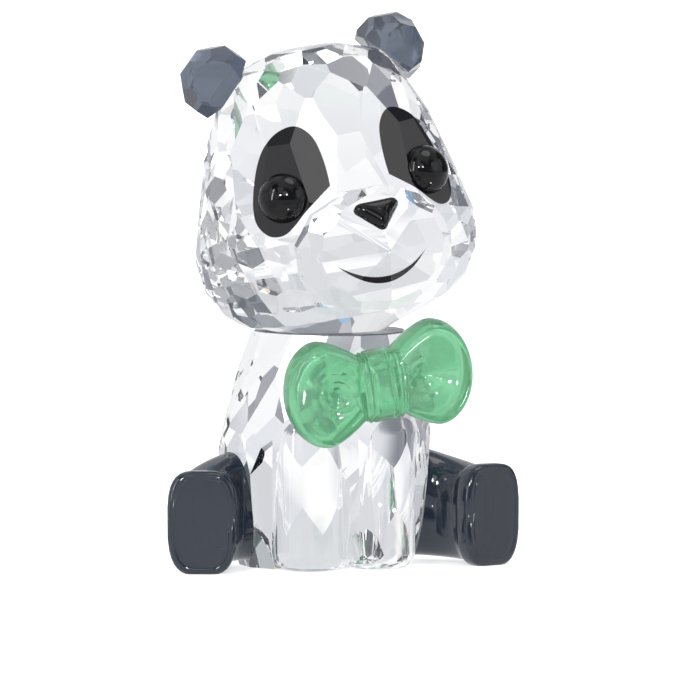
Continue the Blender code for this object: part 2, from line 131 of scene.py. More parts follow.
def solid_copy(node: str, name: str, flat_angle: float = FLAT_ANGLE) -> bpy.types.Object:
    """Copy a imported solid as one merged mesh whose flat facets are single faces.

    Args:
        node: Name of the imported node.
        name: Name of the new piece.
        flat_angle: Neighbouring triangles closer than this angle become one face.

    Returns:
        The new piece, at the origin with its place in its mesh.
    """
    piece = bpy.data.objects.new(name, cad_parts[node].data.copy())
    bpy.context.scene.collection.objects.link(piece)
    piece.data.materials.clear()
    activate(piece)
    bpy.ops.object.mode_set(mode="EDIT")
    bpy.ops.mesh.select_all(action="SELECT")
    bpy.ops.mesh.remove_doubles(threshold=WELD)
    bpy.ops.mesh.dissolve_limited(angle_limit=flat_angle)
    turn_outwards()
    bpy.ops.object.shade_flat()
    return piece


def smooth_by_angle(
    piece: bpy.types.Object, degrees: float, largest: float = LARGEST_SMOOTH_FACE
) -> None:
    """Shade a piece smooth wherever its faces meet at less than an angle.

    Args:
        piece: The piece to shade.
        degrees: The largest smooth angle.
        largest: Area above which a face is a ground flat and stays flat, in square metres.
    """
    activate(piece)
    bpy.ops.object.shade_smooth_by_angle(angle=math.radians(degrees))
    for face in piece.data.polygons:
        if face.area > largest:
            face.use_smooth = False


def hand_over(piece: bpy.types.Object, slot: Slot, *nodes: str) -> None:
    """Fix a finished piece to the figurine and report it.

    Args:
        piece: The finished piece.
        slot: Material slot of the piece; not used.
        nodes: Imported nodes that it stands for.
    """
    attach(piece, "root")
    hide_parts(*nodes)
    LOG.info("%s: %d faces", piece.name, len(piece.data.polygons))


def fill(node: bpy.types.Node, **values: object) -> None:
    """Set inputs of a node.

    Args:
        node: The node.
        values: Value of each input, with _ for a blank; three numbers are an opaque colour.
    """
    for label, value in values.items():
        if isinstance(value, tuple) and len(value) == 3:
            value = (*value, 1.0)
        node.inputs[label.replace("_", " ")].default_value = value


class Nodes:
    """Small helper that adds and links the nodes of one tree."""

    def __init__(self, tree: bpy.types.NodeTree) -> None:
        """Keep the tree.

        Args:
            tree: The node tree to work in.
        """
        self.tree = tree

    def add(self, kind: str, **values: object) -> bpy.types.Node:
        """Add a node and set its properties.

        Args:
            kind: Blender's name of the node type.
            values: Properties of the node.

        Returns:
            The new node.
        """
        node = self.tree.nodes.new(kind)
        for key, value in values.items():
            setattr(node, key, value)
        return node

    def link(self, source: bpy.types.NodeSocket, target: bpy.types.NodeSocket) -> None:
        """Link an output to an input.

        Args:
            source: The output.
            target: The input.
        """
        self.tree.links.new(source, target)

    def lay_patch(
        self, colour: bpy.types.NodeSocket, patch: Colour, nearness: bpy.types.NodeSocket,
        edge: float, full: float,
    ) -> bpy.types.NodeSocket:
        """Lay a patch with a soft edge over a colour.

        Args:
            colour: What lies below.
            patch: Colour of the patch.
            nearness: Value that tells where the patch is.
            edge: That value at the outer edge.
            full: That value where the patch is full.

        Returns:
            The output with the new colour.
        """
        mask = self.add("ShaderNodeMapRange", interpolation_type="SMOOTHSTEP")
        fill(mask, From_Min=edge, From_Max=full)
        self.link(nearness, mask.inputs["Value"])
        mix = self.add("ShaderNodeMix", data_type="RGBA")
        fill(mix, B=patch)
        self.link(mask.outputs["Result"], mix.inputs["Factor"])
        self.link(colour, mix.inputs["A"])
        return mix.outputs["Result"]


def effect_group(
    name: str, inputs: Sequence[tuple[str, str, object]], outputs: Sequence[tuple[str, str]]
) -> tuple[bpy.types.NodeTree, Nodes, bpy.types.Node, bpy.types.Node]:
    """Start a shader node group with named inputs and outputs.

    Args:
        name: Name of the group.
        inputs: Name, socket type and default value of each input.
        outputs: Name and socket type of each output.

    Returns:
        The group, its helper, its input node and its output node.
    """
    tree = bpy.data.node_groups.new(name, "ShaderNodeTree")
    for label, kind, default in inputs:
        socket = tree.interface.new_socket(label, in_out="INPUT", socket_type=kind)
        if default is not None:
            socket.default_value = default
    for label, kind in outputs:
        tree.interface.new_socket(label, in_out="OUTPUT", socket_type=kind)
    nodes = Nodes(tree)
    return tree, nodes, nodes.add("NodeGroupInput"), nodes.add("NodeGroupOutput")


MARKS_DETAIL = 3.0
MARKS_LOW = 0.35
MARKS_HIGH = 0.65
DRIFT_DETAIL = 1.0


def make_polish_marks() -> bpy.types.NodeTree:
    """Group for the faint clouds that polishing leaves.

    Returns:
        A group that puts out a roughness between two values.
    """
    tree, nodes, start, end = effect_group(
        "polish marks",
        (
            ("Vector", "NodeSocketVector", None),
            ("Scale", "NodeSocketFloat", 400.0),
            ("Finest", "NodeSocketFloat", 0.0),
            ("Coarsest", "NodeSocketFloat", 0.02),
        ),
        (("Roughness", "NodeSocketFloat"),),
    )
    noise = nodes.add("ShaderNodeTexNoise")
    fill(noise, Detail=MARKS_DETAIL)
    spread = nodes.add("ShaderNodeMapRange")
    fill(spread, From_Min=MARKS_LOW, From_Max=MARKS_HIGH)
    nodes.link(start.outputs["Vector"], noise.inputs["Vector"])
    nodes.link(start.outputs["Scale"], noise.inputs["Scale"])
    nodes.link(noise.outputs["Fac"], spread.inputs["Value"])
    nodes.link(start.outputs["Finest"], spread.inputs["To Min"])
    nodes.link(start.outputs["Coarsest"], spread.inputs["To Max"])
    nodes.link(spread.outputs["Result"], end.inputs["Roughness"])
    return tree


def make_shade_drift() -> bpy.types.NodeTree:
    """Group for the slow drift of a colour inside one batch of glass.

    Returns:
        A group that puts out a colour between two shades.
    """
    tree, nodes, start, end = effect_group(
        "shade drift",
        (
            ("Vector", "NodeSocketVector", None),
            ("Scale", "NodeSocketFloat", 120.0),
            ("Light", "NodeSocketColor", (1.0, 1.0, 1.0, 1.0)),
            ("Deep", "NodeSocketColor", (0.9, 0.9, 0.9, 1.0)),
        ),
        (("Color", "NodeSocketColor"),),
    )
    noise = nodes.add("ShaderNodeTexNoise")
    fill(noise, Detail=DRIFT_DETAIL)
    mix = nodes.add("ShaderNodeMix", data_type="RGBA")
    nodes.link(start.outputs["Vector"], noise.inputs["Vector"])
    nodes.link(start.outputs["Scale"], noise.inputs["Scale"])
    nodes.link(noise.outputs["Fac"], mix.inputs["Factor"])
    nodes.link(start.outputs["Light"], mix.inputs["A"])
    nodes.link(start.outputs["Deep"], mix.inputs["B"])
    nodes.link(mix.outputs["Result"], end.inputs["Color"])
    return tree


POLISH_MARKS = make_polish_marks()
SHADE_DRIFT = make_shade_drift()


@dataclass(frozen=True)
class Finish:
    """A polished surface, clear or opaque, with faint polish marks and a drifting shade.

    Attributes:
        name: Name of the material.
        light: Lighter shade.
        deep: Deeper shade.
        finest: Lowest roughness.
        coarsest: Highest roughness.
        inner: Colour of its inner side where it is printed on clear crystal, as painted light, or
            None.
        transmission: 1 for clear glass, 0 for an opaque surface.
        ior: Index of refraction.
        body_colour: Colour that the glass takes with depth, or None.
        density: How strongly it takes it, for each metre.
        specular: Level of its gloss; 0.5 is what its index of refraction gives.
    """

    name: str
    light: Colour
    deep: Colour
    finest: float = 0.0
    coarsest: float = 0.02
    inner: Colour | None = None
    transmission: float = 1.0
    ior: float = 1.56
    body_colour: Colour | None = None
    density: float = 0.0
    specular: float = 0.5

    def build(self) -> bpy.types.Material:
        """Make the material.

        Returns:
            The new material.
        """
        material = bpy.data.materials.new(self.name)
        material.use_nodes = True
        nodes = Nodes(material.node_tree)
        shader = material.node_tree.nodes["Principled BSDF"]
        output = material.node_tree.nodes["Material Output"]
        shader.inputs["Metallic"].default_value = 0.0
        shader.inputs["Transmission Weight"].default_value = self.transmission
        shader.inputs["IOR"].default_value = self.ior
        shader.inputs["Specular IOR Level"].default_value = self.specular
        place = nodes.add("ShaderNodeTexCoord")
        marks = nodes.add("ShaderNodeGroup", node_tree=POLISH_MARKS)
        fill(marks, Finest=self.finest, Coarsest=self.coarsest)
        shade = nodes.add("ShaderNodeGroup", node_tree=SHADE_DRIFT)
        fill(shade, Light=self.light, Deep=self.deep)
        for group in (marks, shade):
            nodes.link(place.outputs["Object"], group.inputs["Vector"])
        nodes.link(marks.outputs["Roughness"], shader.inputs["Roughness"])
        colour = shade.outputs["Color"]
        # The print's inner side gets a near-white colour: painted light that lightens the facets which
        # mirror the print from inside.
        if self.inner is not None:
            facing = nodes.add("ShaderNodeNewGeometry")
            sides = nodes.add("ShaderNodeMix", data_type="RGBA")
            fill(sides, B=self.inner)
            nodes.link(facing.outputs["Backfacing"], sides.inputs["Factor"])
            nodes.link(colour, sides.inputs["A"])
            colour = sides.outputs["Result"]
        nodes.link(colour, shader.inputs["Base Color"])
        if self.body_colour is not None:
            depth = nodes.add("ShaderNodeVolumeAbsorption")
            fill(depth, Color=self.body_colour, Density=self.density)
            nodes.link(depth.outputs["Volume"], output.inputs["Volume"])
        return material


CLEAR_CRYSTAL = Finish("clear crystal", (1.0, 1.0, 1.0), (0.985, 0.99, 1.0), 0.0, 0.004, ior=1.58)
SLATE_CRYSTAL = Finish(
    "slate crystal", (0.21, 0.245, 0.31), (0.16, 0.19, 0.25), 0.0, 0.02, transmission=0.85,
    body_colour=(0.31, 0.36, 0.44), density=100.0,
)
SLATE_GLASS = Finish(
    "slate glass", (0.036, 0.050, 0.078), (0.030, 0.042, 0.066), 0.0, 0.03, transmission=0.55,
    specular=0.4, body_colour=(0.33, 0.38, 0.45), density=300.0,
)
GREEN_GLASS = Finish(
    "green glass", (0.32, 0.74, 0.44), (0.26, 0.68, 0.38), 0.0, 0.02, transmission=0.78, ior=1.48,
    body_colour=(0.22, 0.68, 0.45), density=90.0,
)
BLACK_BEAD = Finish(
    "black bead", (0.002, 0.002, 0.0025), (0.005, 0.005, 0.006), 0.0, 0.03,
    transmission=0.0, ior=1.5, specular=0.28,
)
DARK_GLUE = Finish(
    "dark glue", (0.15, 0.155, 0.19), (0.11, 0.115, 0.14), 0.2, 0.35, transmission=0.0, ior=1.5
)
# Black print whose inner side is near-white painted light, so facets that mirror it from inside look
# light, not black.
BLACK_PRINT = Finish(
    "black print", (0.005, 0.005, 0.006), (0.010, 0.010, 0.012), 0.03, 0.08,
    inner=(0.92, 0.93, 0.95), transmission=0.0, ior=1.5,
)


@dataclass(frozen=True)
class Card:
    """A round card or lamp of the studio, as a soft patch of the surroundings.

    Attributes:
        azimuth: Direction in plan, in degrees; 0 is in front and 90 is the panda's left.
        elevation: Height above the horizon, in degrees.
        radius: Half of its angular width, in degrees.
        edge: Angular width of its soft edge, in degrees.
        colour: Its light.
    """

    azimuth: float
    elevation: float
    radius: float
    edge: float
    colour: Colour

    @property
    def direction(self) -> Vector:
        """Direction of its middle.

        Returns:
            A unit vector towards the card.
        """
        return heading(self.azimuth, self.elevation)


def heading(azimuth: float, elevation: float) -> Vector:
    """Direction of an azimuth and an elevation.

    Args:
        azimuth: Degrees in plan from the front, towards the panda's left.
        elevation: Degrees above the horizon.

    Returns:
        A unit vector.
    """
    a = math.radians(azimuth)
    e = math.radians(elevation)
    return Vector((math.sin(a) * math.cos(e), -math.cos(a) * math.cos(e), math.sin(e)))


DARK = (0.10, 0.115, 0.14)
GREY = (0.38, 0.40, 0.44)
WHITE = (1.5, 1.5, 1.5)
COOL = (0.35, 0.62, 1.0)
WARM = (1.0, 0.62, 0.30)
HORIZON = (0.72, 0.735, 0.76)

# The later cards lie over the earlier ones
CARDS = (
    Card(160, 0, 28, 16, HORIZON),
    Card(-18, 0, 38, 22, (0.22, 0.23, 0.26)),
    Card(105, 18, 22, 5, DARK),
    Card(150, 52, 15, 4, GREY),
    Card(40, 30, 14, 5, DARK),
    Card(-42, 38, 10, 4, WHITE),
    Card(-75, 32, 14, 4, WHITE),
    Card(-76, 46, 10, 3, (0.14, 0.145, 0.17)),
    Card(48, 22, 13, 4, WHITE),
    Card(84, 24, 9, 3, (0.9, 0.9, 0.92)),
    Card(-52, 13, 10, 4, (1.0, 1.0, 1.03)),
    Card(-58, 33, 6, 3, (0.35, 0.35, 0.37)),
    Card(-20, 25, 8, 3, (2.4, 2.4, 2.4)),
    Card(-37, 19, 2.4, 1.0, (110.0, 110.0, 110.0)),
    Card(-12, 21, 2.4, 1.2, (60.0, 60.0, 60.0)),
    Card(60, 75, 14, 3, (3.0, 3.0, 3.0)),
)
# An upright strip light at the panda's right
STRIP_COUNT = 10
STRIP_LOWEST = -1
STRIP_STEP = 4
STRIP = tuple(
    Card(-72, STRIP_LOWEST + STRIP_STEP * number, 1.8, 1.2, (16.0, 16.0, 16.0))
    for number in range(STRIP_COUNT)
)

# Small cool and warm sparks round the back, for the colours that cut crystal throws
SPARK_COUNT = 20
SPARK_FIRST = 96
SPARK_STEP = 12
SPARK_HEIGHT = 40
SPARK_TURN = 2.4
SPARKS = tuple(
    Card(
        SPARK_FIRST + SPARK_STEP * number, SPARK_HEIGHT * math.sin(SPARK_TURN * number),
        1.4, 0.8, WARM if number % 2 else COOL,
    )
    for number in range(SPARK_COUNT)
)


@dataclass(frozen=True)
class Shade:
    """A soft round patch of shade or light on the floor, which only the glass mirrors.

    Attributes:
        azimuth: Direction in plan, in degrees; 0 is in front.
        distance: Distance from the middle of the figurine, in metres.
        radius: Radius of its full depth, in metres.
        edge: Width of its soft edge, in metres.
        colour: Its colour.
    """

    azimuth: float
    distance: float
    radius: float
    edge: float
    colour: Colour


# Painted shadow and painted light on the floor, seen only by the glass: three dark patches of painted
# shadow round the figurine and two small bright patches of painted light that put highlights on the
# bow.
PAINTED_FLOOR_SHADE_AND_LIGHT = (
    Shade(202, 33 * MM, 14 * MM, 18 * MM, (0.24, 0.25, 0.29)),
    Shade(12, 28 * MM, 9 * MM, 8 * MM, (0.09, 0.095, 0.125)),
    Shade(140, 32 * MM, 7 * MM, 8 * MM, (0.27, 0.28, 0.32)),
    Shade(-9, 52 * MM, 2.5 * MM, 2 * MM, (30.0, 30.0, 30.0)),
    Shade(30, 46 * MM, 2.5 * MM, 2 * MM, (30.0, 30.0, 30.0)),
)


@dataclass
class Studio:
    """Camera, floor and soft surroundings of the picture.

    Attributes:
        azimuth: Where the camera stands in plan, in degrees from the front.
        elevation: Its height above the horizon, in degrees.
        distance: Its distance from its aim.
        lens: Its focal length in millimetres.
        sensor: Width of its sensor in millimetres.
        reach: How far it sees.
        aim: What it looks at.
        floor_size: Side of the floor.
        floor_white: Colour of the floor's paper.
        floor_roughness: Roughness of that paper.
        floor_glow: How strongly that paper glows by itself.
        sky_shade: Darker colour of the surroundings.
        floor_shade: Darker colour of the floor as the glass mirrors it.
        light: Lighter colour of both.
        shade_end: Value of the pattern at its darkest.
        light_start: Value of the pattern at its lightest.
        sky_clouds: Scale of the pattern in the surroundings.
        floor_clouds: Scale of the pattern on the floor.
        cloud_detail: Fineness of the pattern.
        paper: Brightness of the white that the camera sees behind the figurine.
        bounces: Bounces of light in all, and through glass.
        gloss_bounces: Bounces between mirroring surfaces.
        diffuse_bounces: Bounces between matt surfaces.
        clamp: Largest brightness of one bounced ray.
    """

    azimuth: float = -18.0
    elevation: float = 3.5
    distance: float = 0.6
    lens: float = 364.8
    sensor: float = 36.0
    reach: float = 50.0
    aim: Vector = Vector((0.00096, -0.00031, 0.0199))
    floor_size: float = 8.0
    floor_white: Colour = (0.9, 0.9, 0.9)
    floor_roughness: float = 0.9
    floor_glow: float = 0.6
    sky_shade: Colour = (0.58, 0.61, 0.66)
    floor_shade: Colour = (0.76, 0.78, 0.82)
    light: Colour = (1.06, 1.06, 1.06)
    shade_end: float = 0.40
    light_start: float = 0.58
    sky_clouds: float = 2.2
    floor_clouds: float = 9.0
    cloud_detail: float = 0.5
    paper: float = 1.2
    bounces: int = 40
    gloss_bounces: int = 24
    diffuse_bounces: int = 4
    clamp: float = 6.0

    def build(self) -> None:
        """Make the whole studio."""
        self.make_camera()
        self.make_floor()
        self.make_surroundings()
        scene = bpy.context.scene
        scene.view_settings.view_transform = "Standard"
        scene.cycles.use_denoising = True
        scene.cycles.max_bounces = self.bounces
        scene.cycles.transmission_bounces = self.bounces
        scene.cycles.glossy_bounces = self.gloss_bounces
        scene.cycles.diffuse_bounces = self.diffuse_bounces
        scene.cycles.sample_clamp_indirect = self.clamp
        LOG.info("studio: %d cards", len(CARDS + STRIP + SPARKS))

    def make_camera(self) -> None:
        """Set the camera at the photograph's viewing angle."""
        data = bpy.data.cameras.new("camera")
        data.lens = self.lens
        data.sensor_width = self.sensor
        data.clip_end = self.reach
        camera = bpy.data.objects.new("camera", data)
        bpy.context.scene.collection.objects.link(camera)
        back = heading(self.azimuth, self.elevation)
        camera.location = self.aim + back * self.distance
        camera.rotation_euler = back.to_track_quat("Z", "Y").to_euler()
        bpy.context.scene.camera = camera

    def make_floor(self) -> None:
        """Lay the pale floor: plain paper to the camera, painted light and shade to every other ray.
        """
        deselect_all()
        bpy.ops.mesh.primitive_plane_add(size=self.floor_size, location=(0.0, 0.0, 0.0))
        floor = bpy.context.object
        floor.name = "floor"
        material = bpy.data.materials.new("white paper")
        material.use_nodes = True
        nodes = Nodes(material.node_tree)
        shader = material.node_tree.nodes["Principled BSDF"]
        fill(shader, Base_Color=self.floor_white, Roughness=self.floor_roughness)
        fill(shader, Specular_IOR_Level=0.0)
        fill(shader, Emission_Color=(1.0, 1.0, 1.0), Emission_Strength=self.floor_glow)
        place = nodes.add("ShaderNodeTexCoord")
        glow = nodes.add("ShaderNodeEmission")
        colour = self.clouds(nodes, place.outputs["Object"], self.floor_clouds, self.floor_shade)
        for shade in PAINTED_FLOOR_SHADE_AND_LIGHT:
            away = nodes.add("ShaderNodeVectorMath", operation="DISTANCE")
            away.inputs[1].default_value = heading(shade.azimuth, 0.0) * shade.distance
            nodes.link(place.outputs["Object"], away.inputs[0])
            colour = nodes.lay_patch(
                colour, shade.colour, away.outputs["Value"], shade.radius + shade.edge, shade.radius
            )
        nodes.link(colour, glow.inputs["Color"])
        # Only rays other than the camera's see this glow, so the glass mirrors painted light and
        # painted shadow instead of the lit floor.
        path = nodes.add("ShaderNodeLightPath")
        choose = nodes.add("ShaderNodeMixShader")
        nodes.link(path.outputs["Is Camera Ray"], choose.inputs["Fac"])
        nodes.link(glow.outputs["Emission"], choose.inputs[1])
        nodes.link(shader.outputs["BSDF"], choose.inputs[2])
        output = material.node_tree.nodes["Material Output"]
        nodes.link(choose.outputs["Shader"], output.inputs["Surface"])
        floor.data.materials.append(material)

    def clouds(
        self, nodes: Nodes, place: bpy.types.NodeSocket, scale: float, shade: Colour
    ) -> bpy.types.NodeSocket:
        """Soft light and shade over the paper that the glass mirrors.

        Args:
            nodes: The tree to work in.
            place: Where the pattern is read.
            scale: Size of the pattern.
            shade: Its darker colour.

        Returns:
            The output with the colour.
        """
        cloud = nodes.add("ShaderNodeTexNoise")
        fill(cloud, Scale=scale, Detail=self.cloud_detail)
        nodes.link(place, cloud.inputs["Vector"])
        contrast = nodes.add("ShaderNodeMapRange")
        fill(contrast, From_Min=self.shade_end, From_Max=self.light_start)
        nodes.link(cloud.outputs["Fac"], contrast.inputs["Value"])
        paper = nodes.add("ShaderNodeMix", data_type="RGBA")
        fill(paper, A=shade, B=self.light)
        nodes.link(contrast.outputs["Result"], paper.inputs["Factor"])
        return paper.outputs["Result"]

    def make_surroundings(self) -> None:
        """Build the white surroundings with their cards; the camera itself sees plain paper."""
        world = bpy.data.worlds.new("studio")
        world.use_nodes = True
        bpy.context.scene.world = world
        nodes = Nodes(world.node_tree)
        world.node_tree.nodes.clear()
        place = nodes.add("ShaderNodeTexCoord")
        colour = self.clouds(nodes, place.outputs["Generated"], self.sky_clouds, self.sky_shade)
        for card in CARDS + STRIP + SPARKS:
            along = nodes.add("ShaderNodeVectorMath", operation="DOT_PRODUCT")
            along.inputs[1].default_value = card.direction
            nodes.link(place.outputs["Generated"], along.inputs[0])
            edge = math.cos(math.radians(card.radius + card.edge))
            full = math.cos(math.radians(card.radius))
            colour = nodes.lay_patch(colour, card.colour, along.outputs["Value"], edge, full)
        lit = nodes.add("ShaderNodeBackground")
        nodes.link(colour, lit.inputs["Color"])
        seen = nodes.add("ShaderNodeBackground")
        fill(seen, Strength=self.paper)
        path = nodes.add("ShaderNodeLightPath")
        choose = nodes.add("ShaderNodeMixShader")
        nodes.link(path.outputs["Is Camera Ray"], choose.inputs["Fac"])
        nodes.link(lit.outputs["Background"], choose.inputs[1])
        nodes.link(seen.outputs["Background"], choose.inputs[2])
        output = nodes.add("ShaderNodeOutputWorld")
        nodes.link(choose.outputs["Shader"], output.inputs["Surface"])


def smooth_loop(points: Sequence[tuple[float, float]], steps: int) -> list[tuple[float, float]]:
    """Closed smooth curve through points, as a Catmull-Rom spline.

    Args:
        points: The points in order; one that is given twice stays a corner.
        steps: Steps between two points.

    Returns:
        The points of the curve.
    """
    count = len(points)
    curve = []
    for k in range(count):
        p0, p1, p2, p3 = (Vector(points[(k + offset) % count]) for offset in (-1, 0, 1, 2))
        if p2 == p1:
            continue
        for step in range(steps):
            t = step / steps
            point = 0.5 * (
                2 * p1 + (p2 - p0) * t + (2 * p0 - 5 * p1 + 4 * p2 - p3) * t * t
                + (3 * p1 - p0 - 3 * p2 + p3) * t ** 3
            )
            curve.append((point.x, point.y))
    return curve


def inside(point: tuple[float, float], outline: Sequence[tuple[float, float]]) -> bool:
    """Tell whether a point lies in a closed outline.

    Args:
        point: The point.
        outline: Corners of the outline in order.

    Returns:
        True if it is inside.
    """
    x, y = point
    odd = False
    for (x1, y1), (x2, y2) in zip(outline, [*outline[1:], outline[0]]):
        if (y1 > y) != (y2 > y) and x < x1 + (y - y1) * (x2 - x1) / (y2 - y1):
            odd = not odd
    return odd


# Materials of the head while it is cut, in this order
CRYSTAL, PRINT, GUIDE = range(3)


@dataclass
class Head:
    """The faceted head with its printed eye patches and mouth.

    Attributes:
        forward: How far it sits in front of the body's middle.
        girdle: Height of its widest line.
        roll: How far it leans to the panda's right.
        guide_front: How far in front the cutting guides start.
        patch: Corners of the left eye patch, across and up in millimetres from the girdle.
        patch_steps: Steps between two of them.
        mouth_half_width: Half of the mouth's width.
        mouth_shift: Place of its middle across; below 0 is the panda's right.
        mouth_ends: Height of its ends.
        mouth_low: Height of its middle.
        mouth_thickness: Its thickness in the middle.
        mouth_steps: Steps along it.
    """

    forward: float = 3.0 * MM
    girdle: float = 28.3 * MM
    roll: float = math.radians(10.2)
    guide_front: float = 18.0 * MM
    patch: tuple[tuple[float, float], ...] = (
        (4.55, 11.45), (5.8, 11.05), (6.9, 10.1), (7.75, 8.6), (8.45, 6.7), (8.9, 5.0), (8.95, 3.8),
        (8.6, 2.9), (8.0, 2.45), (7.1, 2.5), (6.15, 3.2), (4.9, 4.4), (2.7, 6.0), (2.7, 6.0),
        (2.65, 7.3), (2.75, 8.9), (3.05, 10.2), (3.7, 11.1),
    )
    patch_steps: int = 5
    mouth_half_width: float = 4.0 * MM
    mouth_shift: float = -0.4 * MM
    mouth_ends: float = -0.55 * MM
    mouth_low: float = -2.42 * MM
    mouth_thickness: float = 0.58 * MM
    mouth_steps: int = 24

    @property
    def place(self) -> Matrix:
        """Frame of the head: its girdle at height 0.

        Returns:
            The frame.
        """
        lift = Matrix.Translation((0.0, -self.forward, self.girdle))
        return lift @ Matrix.Rotation(-self.roll, 4, "Y")

    def patch_outline(self, side: Side) -> list[tuple[float, float]]:
        """Outline of an eye patch, seen from the front of the head.

        Args:
            side: The panda's side.

        Returns:
            Points across and up, in metres.
        """
        curve = smooth_loop(self.patch, self.patch_steps)
        return [(side.value * x * MM, z * MM) for x, z in curve]

    def mouth_outline(self) -> list[tuple[float, float]]:
        """Outline of the smiling mouth, seen from the front of the head.

        Returns:
            Points across and up, in metres.
        """
        lower = []
        upper = []
        for step in range(self.mouth_steps + 1):
            share = 2 * step / self.mouth_steps - 1
            x = self.mouth_shift + self.mouth_half_width * share
            z = self.mouth_low + (self.mouth_ends - self.mouth_low) * share * share
            swell = self.mouth_thickness * (1 - share * share)
            lower.append((x, z - swell / 2))
            upper.append((x, z + swell / 2))
        return lower + upper[-2:0:-1]

    def cut_outline(self, head: bpy.types.Object, outline: Sequence[tuple[float, float]]) -> None:
        """Cut the front of the head along an outline and print what lies inside.

        Args:
            head: The head with its three materials.
            outline: Points across and up in the head's frame.
        """
        deselect_all()
        bpy.ops.mesh.primitive_circle_add(vertices=len(outline), fill_type="NGON")
        guide = bpy.context.object
        for vertex, (x, z) in zip(guide.data.vertices, outline):
            vertex.co = self.place @ Vector((x, -self.guide_front, z))
        for material in head.data.materials:
            guide.data.materials.append(material)
        activate(guide)
        bpy.ops.object.mode_set(mode="EDIT")
        bpy.ops.mesh.select_all(action="SELECT")
        reach = self.place.to_3x3() @ Vector((0.0, self.guide_front, 0.0))
        bpy.ops.mesh.extrude_region_move(TRANSFORM_OT_translate={"value": reach})
        bpy.ops.object.mode_set(mode="OBJECT")
        for face in guide.data.polygons:
            face.material_index = GUIDE
        head.select_set(True)
        bpy.context.view_layer.objects.active = head
        bpy.ops.object.join()
        pick_faces(head, lambda face: face.material_index == GUIDE)
        bpy.ops.mesh.intersect(mode="SELECT_UNSELECT", separate_mode="CUT", solver="EXACT")
        bpy.ops.object.mode_set(mode="OBJECT")
        pick_faces(head, lambda face: face.material_index == GUIDE)
        bpy.ops.mesh.delete(type="FACE")
        bpy.ops.mesh.select_all(action="SELECT")
        bpy.ops.mesh.remove_doubles(threshold=WELD)
        bpy.ops.object.mode_set(mode="OBJECT")
        back = self.place.inverted()
        mesh = head.data
        mesh.calc_loop_triangles()
        for triangle in sorted(mesh.loop_triangles, key=lambda part: part.area):
            centre = back @ triangle.center
            facing = (back.to_3x3() @ triangle.normal).y
            printed = facing < 0 and centre.y < 0 and inside((centre.x, centre.z), outline)
            mesh.polygons[triangle.polygon_index].select = printed
        for face in mesh.polygons:
            if face.select:
                face.material_index = PRINT

    def build(self) -> bpy.types.Object:
        """Make the head.

        Returns:
            The finished head.
        """
        head = solid_copy("head", "faceted_head")
        head.data.materials.append(CLEAR_CRYSTAL.build())
        head.data.materials.append(BLACK_PRINT.build())
        head.data.materials.append(bpy.data.materials.new("guide"))
        for outline in (*map(self.patch_outline, Side), self.mouth_outline()):
            self.cut_outline(head, outline)
        head.data.materials.pop(index=GUIDE)
        hand_over(head, Slot.CLEAR, "head")
        return head


@dataclass
class Body:
    """The faceted body with its two smooth front paws.

    Attributes:
        paw_radius: Radius of a paw.
        paw_side: Its distance from the middle.
        paw_forward: How far it stands forward.
        paw_height: Height of its top.
        paw_rounding: Rounding of its lower edge.
        tolerance: How near to a paw a face counts as its own.
    """

    paw_radius: float = 3.2 * MM
    paw_side: float = 3.15 * MM
    paw_forward: float = 5.2 * MM
    paw_height: float = 15.0 * MM
    paw_rounding: float = 1.4 * MM
    tolerance: float = 0.12 * MM

    def on_paw(self, point: Vector) -> bool:
        """Tell whether a point of the body lies on a paw's smooth surface.

        Args:
            point: The point.

        Returns:
            True if it does.
        """
        for side in Side:
            offset = point - Vector((side.value * self.paw_side, -self.paw_forward, 0.0))
            radial = math.hypot(offset.x, offset.y)
            shoulder = self.paw_height - self.paw_radius
            if offset.z > shoulder:
                radial = math.hypot(radial, offset.z - shoulder)
            near = abs(radial - self.paw_radius) < self.tolerance
            rounded = 0 < offset.z < self.paw_rounding and radial < self.paw_radius
            if near or rounded:
                return True
        return False

    def build(self) -> bpy.types.Object:
        """Make the body.

        Returns:
            The finished body.
        """
        body = solid_copy("body", "faceted_body")
        for face in body.data.polygons:
            face.use_smooth = self.on_paw(face.center)
        body.data.materials.append(CLEAR_CRYSTAL.build())
        hand_over(body, Slot.CLEAR, "body")
        return body


@dataclass
class NeckFilm:
    """The film of dark glue that joins the head to the body and reaches a hair into both.

    Attributes:
        gap: Gap between the two solids.
        bite: How far the film reaches into each.
        inset: How far its edge stays inside the body's edge.
    """

    gap: float = 0.1 * MM
    bite: float = 0.01 * MM
    inset: float = 0.25 * MM

    def build(self) -> bpy.types.Object:
        """Make the film from the body's flat top.

        Returns:
            The finished film.
        """
        film = solid_copy("body", "neck_joint_film")
        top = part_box("body")[1][2] - self.bite
        pick_faces(film, lambda face: face.center.z < top)
        bpy.ops.mesh.delete(type="FACE")
        bpy.ops.mesh.select_all(action="SELECT")
        bpy.ops.mesh.inset(thickness=self.inset)
        bpy.ops.mesh.select_all(action="INVERT")
        bpy.ops.mesh.delete(type="FACE")
        bpy.ops.mesh.select_all(action="SELECT")
        bpy.ops.transform.translate(value=(0.0, 0.0, -self.bite))
        rise = self.gap + 2 * self.bite
        bpy.ops.mesh.extrude_region_move(TRANSFORM_OT_translate={"value": (0.0, 0.0, rise)})
        turn_outwards()
        film.data.materials.append(DARK_GLUE.build())
        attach(film, "root")
        LOG.info("%s: %d faces", film.name, len(film.data.polygons))
        return film


